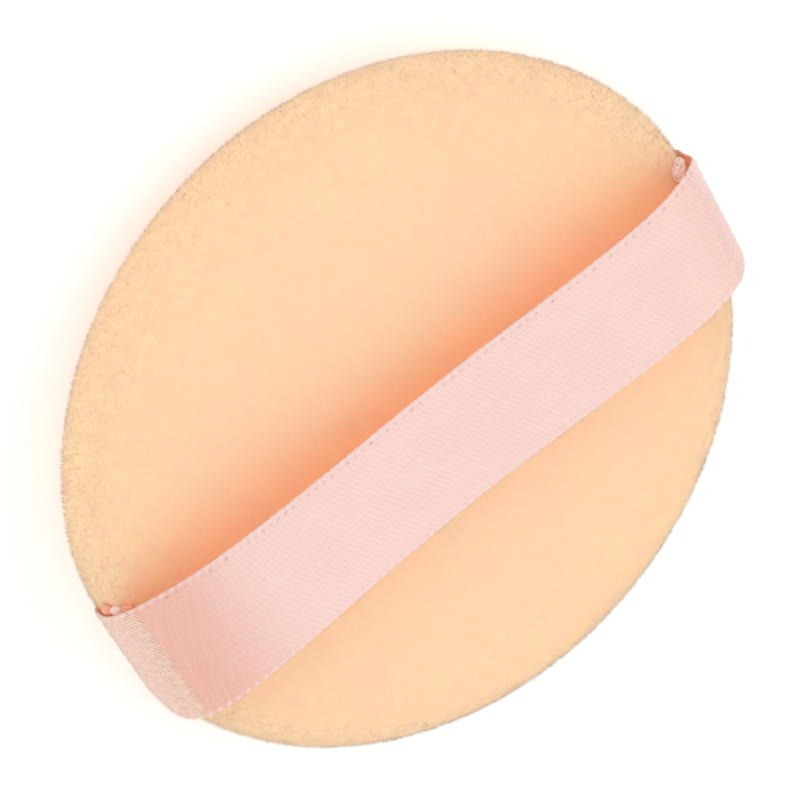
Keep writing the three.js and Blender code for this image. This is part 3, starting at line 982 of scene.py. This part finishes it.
@dataclass
class FingerRibbon:
    """The satin ribbon: tails in the seam, tucked ends, round shoulders and a slack middle.

    Sizes are in millimetres.
    """

    form: PuffForm
    width: float = 16.0
    thickness: float = 0.24
    sewn_width: float = 12.6
    sewn_offset: float = 1.2  # the sewn ends' middle from the strap's, along Y
    full_width_height: float = 9.0  # above the seam
    reach: float = 39.65  # half of the strap's span
    rise: float = 14.0
    sag: float = 4.5
    lean: float = -0.042
    twist: float = -0.05
    slipped: float = 2.6  # exponents of the arch, 2 for an ellipse: at +X towards -Y,
    high: float = 4.8  # at +X towards +Y,
    other_end: float = 3.25  # and at -X
    arch_start: float = 0.06  # radians from each end, where the arch takes over from the tail's fold
    arch_steps: int = 1600
    tail_fold: float = 0.8
    fold_steps: int = 12
    tail_end: float = 35.4
    station: float = 0.22  # length of a face along the ribbon
    strips: int = 52
    strip_closeness: float = 1.25  # the higher, the closer together the strips are at the selvedges
    crease: float = 37.0  # X of the crease at the +X end
    other_crease: float = -36.6
    flat_height: float = 3.0  # above the seam, from where the flat stretch is looked for
    ridge: float = 0.1  # how sharply the crease stands up
    ridge_width: float = 0.5
    wrap_from: tuple[float, float] = (-0.3, 0.5)  # past the crease, where the wrapped end's painted highlight starts,
    wrap_fade: tuple[float, float] = (2.0, 6.0)  # where it grows duller,
    wrap_dull: float = 0.4  # and by how much
    band: tuple[float, float] = (-15.0, -1.0)  # the pressed stretch before the crease, which takes painted shade,
    band_fade: tuple[float, float] = (0.0, 3.0)  # and where it ends past it
    part_from: tuple[float, float] = (-0.6, 0.4)  # past the crease, where the floats part, with painted shade in the partings
    part_fade: float = 2.5  # length over which they close again,
    part_rest: float = 0.6  # down to this share
    other_share: float = 0.25  # how much of the last two shows at the -X end
    ripple: float = 0.05  # slack of the flat stretch
    ripple_length: float = 7.0
    ripple_slant: float = 1.5  # how much the slack changes across the width
    gathers: int = 9  # small folds where the ends are tucked
    gather_depth: float = 0.1
    loop: float = 1.1  # spacing of the weft's loops along the edges
    bead: float = 0.035  # how much thicker the edges are
    bead_edge: tuple[float, float] = (0.25, 0.65)  # from an edge, where the painted shine on its beads ends
    bead_shares: tuple[float, float] = (0.9, 0.7)  # how strong that painted shine is on the far and the near edge
    bead_round: tuple[float, float] = (0.1, 0.6)  # from an edge, where its beads end
    bead_between: float = 0.3  # share of their height between two
    edge_share: float = 0.3  # of the thickness, at the very edge,
    edge_width: float = 0.3  # and over which the ribbon gets its full thickness
    picot: float = 0.12  # how far the loops stand out on the far edge,
    near_picot: float = -0.3  # and on the near one, as a share
    picot_width: float = 0.5  # from an edge, where they begin
    dash_inset: float = 0.62  # from an edge to its row of dips between the loops, drawn only as painted shade
    dash_width: float = 0.11
    dash_ends: tuple[float, float] = (0.3, 0.85)  # how sharply a dip starts and stops
    dash_shares: tuple[float, float] = (0.25, 1.0)  # how dark their painted shade is at the far and the near edge
    blend_start: float = 1.5  # millimetres above the seam
    blend_end: float = 9.0  # millimetres above the seam

    def squareness(self, x: np.ndarray, across: np.ndarray | float) -> np.ndarray:
        """Gives the arch's exponent at X and across the width from -0.5 to 0.5."""
        return np.where(x > 0, self.slipped + (self.high - self.slipped) * (across + 0.5), self.other_end)

    def sagging(self, x: np.ndarray) -> np.ndarray:
        """Gives how far the strap hangs below its arch at X."""
        return self.sag * (1 - (x / self.reach) ** 2)

    def arch(self, turn: np.ndarray, exponent: np.ndarray) -> tuple[np.ndarray, np.ndarray]:
        """Gives X and Z of the strap.

        Args:
            turn: Where along the arch, in radians from the +X end.
            exponent: How square the arch is.

        Returns:
            X and Z.
        """
        c, s = np.cos(turn), np.sin(turn)
        out = (np.abs(c) ** exponent + np.abs(s) ** exponent) ** (-1 / exponent)
        x = out * self.reach * c
        return x, self.form.seam + out * self.rise * s - self.sagging(x)

    def middle_line(self) -> np.ndarray:
        """Gives the ribbon's middle line.

        Returns:
            Points of X and Z at even steps, from the tail at +X to the tail at -X.
        """
        seam, bend = self.form.seam, self.tail_fold
        turn = np.radians(np.linspace(-90, 0, self.fold_steps + 1))
        middle = np.array([self.reach - bend, seam + bend])
        fold = middle + bend * np.stack([np.cos(turn), np.sin(turn)], axis=1)
        tail = np.concatenate([[[self.tail_end, seam]], fold])
        turn = np.linspace(self.arch_start, math.pi - self.arch_start, self.arch_steps + 1)
        arch = np.stack(self.arch(turn, self.squareness(np.cos(turn), 0.0)), axis=1)
        line = np.concatenate([tail, arch, tail[::-1] * [-1, 1]])
        length = run(line)
        even = np.linspace(0, length[-1], round(length[-1] / self.station) + 1)
        return np.stack([np.interp(even, length, line[:, k]) for k in range(2)], axis=1)

    def across(self) -> np.ndarray:
        """Gives the faces' edges across the width, from -0.5 to 0.5, closer together at the selvedges."""
        even = np.linspace(-1, 1, self.strips + 1)
        return 0.5 * np.sin(even * self.strip_closeness) / math.sin(self.strip_closeness)

    def surface(self, line: np.ndarray, across: np.ndarray) -> tuple[np.ndarray, np.ndarray]:
        """Lays the ribbon's middle layer.

        Args:
            line: The middle line.
            across: Places across the width.

        Returns:
            A grid of points, and how far the width has opened in each row and column.
        """
        seam = self.form.seam
        x, z = line[:, :1], line[:, 1:]
        spread = across[None, :]
        turn = np.arctan2((z + self.sagging(x) - seam) / self.rise, x / self.reach)
        slipped = self.arch(turn, self.squareness(x, spread))
        level = self.arch(turn, self.squareness(x, 0.0))
        x, height = x + slipped[0] - level[0], z + slipped[1] - level[1]
        opened = smoothstep(height, seam + self.tail_fold, seam + self.full_width_height)
        width = self.sewn_width + (self.width - self.sewn_width) * opened
        y = spread * width + (1 - opened) * self.sewn_offset
        lean = self.lean + self.twist * line[:, :1] / self.reach
        return np.stack([x, y, height + opened * lean * spread * self.width], axis=-1), opened

    def slack(self, along: float, across: float) -> float:
        """Gives how far the slack lifts the ribbon at a place, from -1 to 1."""
        return noise.noise(Vector((along / self.ripple_length, across * self.ripple_slant, 2.0)))

    def build(self) -> list[Object]:
        """Makes the ribbon.

        Returns:
            The piece.
        """
        seam = self.form.seam
        line = self.middle_line()
        distance = run(line)
        across = self.across()
        middle, opened = self.surface(line, across)
        normal = unit(np.cross(np.gradient(middle, axis=1), np.gradient(middle, axis=0)))
        from_edge = (0.5 - np.abs(across))[None, :] * self.width
        far = across > 0
        beat = 0.5 + 0.5 * np.cos(TURN * distance / self.loop)[:, None]
        beyond = self.beyond_crease(middle, distance)
        waves = np.array([[self.slack(s, a) for a in across] for s in distance])
        tucks = np.cos(TURN * self.gathers * across)[None, :] * (1 - opened)
        tucks = tucks * smoothstep(line[:, 1:], seam, seam + 2 * self.tail_fold)
        lift = self.ripple * waves * opened + self.gather_depth * tucks
        lift = lift + self.ridge * np.exp(-((beyond / self.ridge_width) ** 2))
        middle = middle + normal * lift[..., None]
        loops = self.picot * beat * (1 - smoothstep(from_edge, 0.0, self.picot_width)) * opened**4
        middle[..., 1] += loops * np.where(far, 1.0, self.near_picot)
        full = smoothstep(from_edge, 0.0, self.edge_width)
        half = self.thickness / 2 * (self.edge_share + (1 - self.edge_share) * full)
        beads = 1 - smoothstep(from_edge, *self.bead_round)
        half = half + self.bead * beads * (self.bead_between + (1 - self.bead_between) * beat)
        layers = [middle + sign * half[..., None] * normal for sign in (1, -1)]
        ribbon = mesh_object("satin_ribbon", *self.closed(layers), Satin().material())
        self.map(ribbon, distance, across)
        # The dips by the edges are only painted: grey painted shade, no relief.
        dip = np.exp(-(((from_edge - self.dash_inset) / self.dash_width) ** 2))
        dip = dip * smoothstep(1 - 2 * beat, *self.dash_ends)
        uneven = np.array([noise.noise(Vector((s / self.loop, 0.0, 5.0))) for s in distance])[:, None]
        dip = dip * np.clip(0.55 + 0.9 * uneven, 0, 1) * np.where(far, *self.dash_shares)
        left = middle[..., 0] > 0
        pressed = np.where(left, 1.0, self.other_share)
        # The wrapped end's painted highlight dulls away from the crease.
        bright = 1 - self.wrap_dull * smoothstep(beyond, *self.wrap_fade)
        before = 1 - smoothstep(beyond, *self.band_fade)
        shining = 1 - smoothstep(from_edge, *self.bead_edge)
        open_floats = self.part_rest + (1 - self.part_rest) * np.exp(-beyond / self.part_fade)
        # WRAP paints a highlight on the wrapped end, PRESS and PART paint shade over real crosswise lines
        # and partings, BEAD paints shine on the edge beads and DASH paints shade in the dips by the edges.
        marks = {
            Mark.WRAP: smoothstep(beyond, *self.wrap_from) * bright * left,
            Mark.PRESS: smoothstep(beyond, *self.band) * before * pressed,
            Mark.PART: smoothstep(beyond, *self.part_from) * open_floats * pressed,
            Mark.BEAD: shining * beat * np.where(far, *self.bead_shares),
            Mark.DASH: dip * opened,
        }
        for mark, amount in marks.items():
            layer = ribbon.data.attributes.new(mark.value, "FLOAT", "POINT")
            layer.data.foreach_set("value", np.tile(amount.ravel(), 2).astype(np.float32))
        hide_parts("ribbon_strap")
        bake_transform(ribbon)
        return [ribbon]

    def beyond_crease(self, middle: np.ndarray, distance: np.ndarray) -> np.ndarray:
        """Measures how far each point is past the nearer crease.

        Args:
            middle: The grid of points.
            distance: How far along each row is.

        Returns:
            Millimetres along the ribbon, positive towards the sewn end.
        """
        flat = (middle[..., 2] > self.form.seam + self.flat_height) & (middle[..., 0] < self.crease)
        flat &= middle[..., 0] > self.other_crease
        first = distance[np.argmax(flat, axis=0)]
        last = distance[::-1][np.argmax(flat[::-1], axis=0)]
        return np.maximum(first - distance[:, None], distance[:, None] - last)

    def closed(self, layers: list[np.ndarray]) -> tuple[np.ndarray, np.ndarray]:
        """Joins the ribbon's two layers along all four sides.

        Args:
            layers: The upper and the lower grid of points.

        Returns:
            Points and faces of a closed mesh.
        """
        rows, columns = layers[0].shape[:2]
        upper = np.arange(rows * columns).reshape(rows, columns)
        lower = upper + rows * columns
        faces = []
        for grid, turn in ((upper, 1), (lower, -1)):
            quads = np.stack([grid[:-1, :-1], grid[1:, :-1], grid[1:, 1:], grid[:-1, 1:]], axis=-1)
            faces.append(quads.reshape(-1, 4)[:, ::turn])
        for top, bottom in (
            (upper[::-1, 0], lower[::-1, 0]),
            (upper[:, -1], lower[:, -1]),
            (upper[0], lower[0]),
            (upper[-1, ::-1], lower[-1, ::-1]),
        ):
            faces.append(np.stack([top[:-1], top[1:], bottom[1:], bottom[:-1]], axis=1)[:, ::-1])
        return np.concatenate([layer.reshape(-1, 3) for layer in layers]), np.concatenate(faces)[:, ::-1]

    def map(self, ribbon: Object, distance: np.ndarray, across: np.ndarray) -> None:
        """Gives the ribbon a map in millimetres, along its length and across its width.

        Args:
            ribbon: The piece.
            distance: How far along each row of points is.
            across: How far across each column is, from -0.5 to 0.5.
        """
        flat = np.stack(np.meshgrid(distance, across * self.width, indexing="ij"), axis=-1).reshape(-1, 2)
        both = np.concatenate([flat, flat])
        mesh = ribbon.data
        corner = np.empty(len(mesh.loops), np.int32)
        mesh.loops.foreach_get("vertex_index", corner)
        layer = mesh.uv_layers.new(name=RIBBON_MAP)
        layer.uv.foreach_set("vector", both[corner].astype(np.float32).ravel())


@dataclass
class RibbonTack:
    """A lumpy knot of overcast thread that ties the ribbon's edge to the velour."""

    form: PuffForm
    left: bool  # True for the end at +X
    beside: float  # degrees round the rim from the ribbon's axis, towards -Y
    up: float  # degrees up the rim's round
    length: float  # half of the knot's size up the rim,
    width: float  # round it
    height: float  # and away from it
    thread: float = 0.3
    strands: int = 9
    turns: float = 1.6
    steps: int = 36
    sides: int = 8
    wander: float = 0.6  # how far a strand strays from a flat loop,
    wander_pace: float = 1.7  # and how often, for each turn
    spread: tuple[float, float] = (0.7, 1.1)  # a strand's size beside the knot's
    raised: float = 0.4  # share of the height that the knot's middle stands off the velour
    sunk: float = 0.8  # how deep the strands' ends are

    def strand(self, draw: np.random.Generator) -> np.ndarray:
        """Gives a strand's path, looped round the knot.

        Args:
            draw: Source of chance.

        Returns:
            Points of the path, both ends in the velour.
        """
        form = self.form
        angle = math.radians(-self.beside if self.left else 180 + self.beside)
        up = math.radians(self.up)
        along = np.array([math.cos(angle), math.sin(angle), 0.0])
        beside = np.array([-math.sin(angle), math.cos(angle), 0.0])
        top = np.array([0.0, 0.0, 1.0])
        out = math.cos(up) * along + math.sin(up) * top
        rise = math.cos(up) * top - math.sin(up) * along
        foot = form.shoulder * along + form.seam * top + form.rim * out
        loop, across, stray = np.linalg.qr(draw.normal(0, 1, (3, 3)))[0]
        turn = np.linspace(0, TURN * self.turns, self.steps) + draw.uniform(0, 6)
        way = np.outer(np.cos(turn), loop) + np.outer(np.sin(turn), across)
        way = unit(way + self.wander * np.outer(np.sin(self.wander_pace * turn), stray))
        size = np.array([self.length, self.width, self.height]) * draw.uniform(*self.spread, 3)
        points = foot + self.raised * self.height * out + (way * size) @ np.stack([rise, beside, out])
        end = foot - self.sunk * out
        return form.drawn(np.array([end, *points, end]))

    def tube(self, path: np.ndarray, first: int) -> tuple[np.ndarray, list[list[int]]]:
        """Makes a round thread along a path.

        Args:
            path: The path.
            first: Number of the tube's first point.

        Returns:
            Points and faces of a closed tube.
        """
        aslant = [0.3, 0.2, 1.0]  # a direction that the path doesn't take
        along = unit(np.gradient(path, axis=0))
        side = unit(np.cross(along, aslant))
        other = np.cross(along, side)
        turn = TURN * np.arange(self.sides) / self.sides
        ring = np.cos(turn)[:, None, None] * side + np.sin(turn)[:, None, None] * other
        points = (path + self.thread / 2 * ring).transpose(1, 0, 2).reshape(-1, 3)
        faces: list[list[int]] = []
        for i in range(len(path) - 1):
            for j in range(self.sides):
                after = (j + 1) % self.sides
                here, ahead = first + i * self.sides, first + (i + 1) * self.sides
                faces.append([here + j, here + after, ahead + after, ahead + j])
        faces.append([first + j for j in range(self.sides)][::-1])
        faces.append([first + len(points) - self.sides + j for j in range(self.sides)])
        return points, faces

    def build(self, name: str, node: str, thread: Material) -> list[Object]:
        """Makes one tack.

        Args:
            name: The piece's name.
            node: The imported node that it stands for.
            thread: Its material.

        Returns:
            The piece, riding on the pad.
        """
        draw = np.random.default_rng(SEED + self.left)
        points, faces = np.empty((0, 3)), []
        for _ in range(self.strands):
            more, sides = self.tube(self.strand(draw), len(points))
            points = np.concatenate([points, more])
            faces += sides
        tack = mesh_object(name, points, faces, thread)
        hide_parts(node)
        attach(tack, PAD)
        return [tack]


@dataclass
class RimSeam:
    """The seam's threads, which lie where they were sewn."""

    nodes: tuple[str, ...] = ("rim_needle_thread", "rim_bobbin_thread", "closing_thread")

    def build(self) -> list[Object]:
        """Dresses the threads.

        Returns:
            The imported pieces.
        """
        thread = SpunThread("Peach spun polyester thread", "#F3C8A4", "#DDA980").material()
        pieces = [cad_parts[node] for node in self.nodes]
        for piece in pieces:
            piece.data.materials.clear()
            piece.data.materials.append(thread)
        return pieces


@dataclass(frozen=True)
class Softbox:
    """A soft lamp that faces the puff."""

    name: str
    place: tuple[float, float, float]  # metres
    breadth: float  # metres
    length: float  # metres along its level side
    brightness: float  # where 1 is white paper in full light

    def hang(self) -> None:
        """Hangs the lamp."""
        data = bpy.data.lights.new(self.name, "AREA")
        data.shape = "RECTANGLE"
        data.size = self.length
        data.size_y = self.breadth
        data.energy = self.brightness * math.pi * self.length * self.breadth
        light = bpy.data.objects.new(self.name, data)
        place = Vector(self.place)
        light.matrix_world = Matrix.Translation(place) @ place.to_track_quat("Z", "Y").to_matrix().to_4x4()
        bpy.context.scene.collection.objects.link(light)


@dataclass
class Studio:
    """A white table, soft light from all round and the camera at the photograph's angle."""

    form: PuffForm
    azimuth: float = 14.99  # degrees from -Y towards +X
    elevation: float = 50.60
    roll: float = 129.90
    distance: float = 450.0  # millimetres
    scale: float = 9.44  # pixels for a millimetre at that distance
    middle: tuple[float, float] = (408.03, 407.73)  # pixel where the pad's middle shows
    picture: float = 800.0  # pixels
    sensor: float = 36.0
    zenith: float = 0.48  # brightness of the room overhead,
    horizon: float = 1.15  # and at the sides
    table_half: float = 3000.0  # millimetres
    table_drop: float = 0.05  # millimetres from the puff to the table
    bounces: int = 8  # of light in the folds
    lamps: tuple[Softbox, ...] = (
        Softbox("front_softbox", (0.15, -0.62, 0.45), 0.6, 0.7, 1.5),
        Softbox("right_softbox", (-0.5, 0.12, 0.52), 0.42, 0.9, 1.4),
        Softbox("left_softbox", (0.57, 0.25, 0.40), 0.42, 0.9, 1.0),
        Softbox("back_softbox", (-0.1, 0.66, 0.33), 0.4, 0.7, 0.85),
    )

    def camera(self) -> None:
        """Sets up the camera."""
        az, el, roll = (math.radians(a) for a in (self.azimuth, self.elevation, self.roll))
        back = Vector((math.sin(az) * math.cos(el), -math.cos(az) * math.cos(el), math.sin(el)))
        right = Vector((math.cos(az), math.sin(az), 0))
        up = back.cross(right)
        picture_right = math.cos(roll) * right + math.sin(roll) * up
        picture_up = -math.sin(roll) * right + math.cos(roll) * up
        data = bpy.data.cameras.new("camera")
        data.sensor_width = self.sensor
        data.lens = self.scale * self.distance / self.picture * self.sensor
        data.shift_x = (self.picture / 2 - self.middle[0]) / self.picture
        data.shift_y = (self.middle[1] - self.picture / 2) / self.picture
        camera = bpy.data.objects.new("camera", data)
        turn = Matrix((picture_right, picture_up, back)).transposed().to_4x4()
        target = Vector((0, 0, self.form.seam * MM))
        camera.matrix_world = Matrix.Translation(target + back * self.distance * MM) @ turn
        bpy.context.scene.collection.objects.link(camera)
        bpy.context.scene.camera = camera

    def table(self) -> None:
        """Makes the white table."""
        corners = np.array([[-1, -1, 0], [1, -1, 0], [1, 1, 0], [-1, 1, 0]]) * self.table_half
        corners[:, 2] -= self.table_drop
        table = mesh_object("table", corners, [[0, 1, 2, 3]], WhiteFloor().material())

    def light(self) -> None:
        """Hangs the softboxes and lights the room."""
        for lamp in self.lamps:
            lamp.hang()
        world = bpy.data.worlds.new("white room")
        world.use_nodes = True
        world.node_tree.nodes.clear()
        add = partial(add_node, world.node_tree)
        way = add("TexCoord").outputs["Generated"]
        up = add("SeparateXYZ", {0: way}).outputs["Z"]
        ends = {LOW: 0.0, HIGH: 1.0, TO_LOW: self.horizon, TO_HIGH: self.zenith}
        strength = add("MapRange", {"Value": up, **ends})
        sky = add("Background", {"Strength": strength})
        add("OutputWorld", {"Surface": sky})
        bpy.context.scene.world = world

    def build(self) -> None:
        """Sets up the camera, the table and the light."""
        self.camera()
        self.table()
        self.light()
        scene = bpy.context.scene
        scene.view_settings.view_transform = "Standard"
        scene.cycles.diffuse_bounces = self.bounces


def main() -> None:
    """Builds the puff piece by piece."""
    logging.basicConfig(level=logging.INFO, format="%(name)s: %(message)s")
    noise.seed_set(SEED)  # noise vectors would otherwise start from the clock
    form = PuffForm.from_frame()
    Studio(form).build()
    pieces = VelourPad(form).build()
    pieces += SpongeCore().build()
    pieces += FingerRibbon(form).build()
    pieces += RimSeam().build()
    pink = SpunThread("Pink spun polyester thread", "#FFF4EE", "#FFD6C8").material()
    left = RibbonTack(form, left=True, beside=8.4, up=42.0, length=0.6, width=0.5, height=0.4)
    pieces += left.build("pink_tack_left", "ribbon_tack_left", pink)
    # Beside the left tack, two more knots of the same pink thread are painted in the darker colour it
    # takes in shade: painted shade.
    shaded_pink = SpunThread("Coral spun polyester thread", "#FFCBB0", "#FFA682").material()
    for name, up, length in (("pink_tack_low_painted_shade", 29.0, 0.6), ("pink_tack_high_painted_shade", 56.0, 0.7)):
        knot = RibbonTack(form, left=True, beside=8.4, up=up, length=length, width=0.55, height=0.35)
        pieces += knot.build(name, "ribbon_tack_left", shaded_pink)
    right = RibbonTack(form, left=False, beside=8.4, up=50.0, length=1.3, width=0.95, height=0.6)
    pieces += right.build("pink_tack_right", "ribbon_tack_right", pink)
    for piece in pieces:
        LOG.info("%s: %d faces", piece.name, len(piece.data.polygons))


if __name__ == "__main__":
    main()
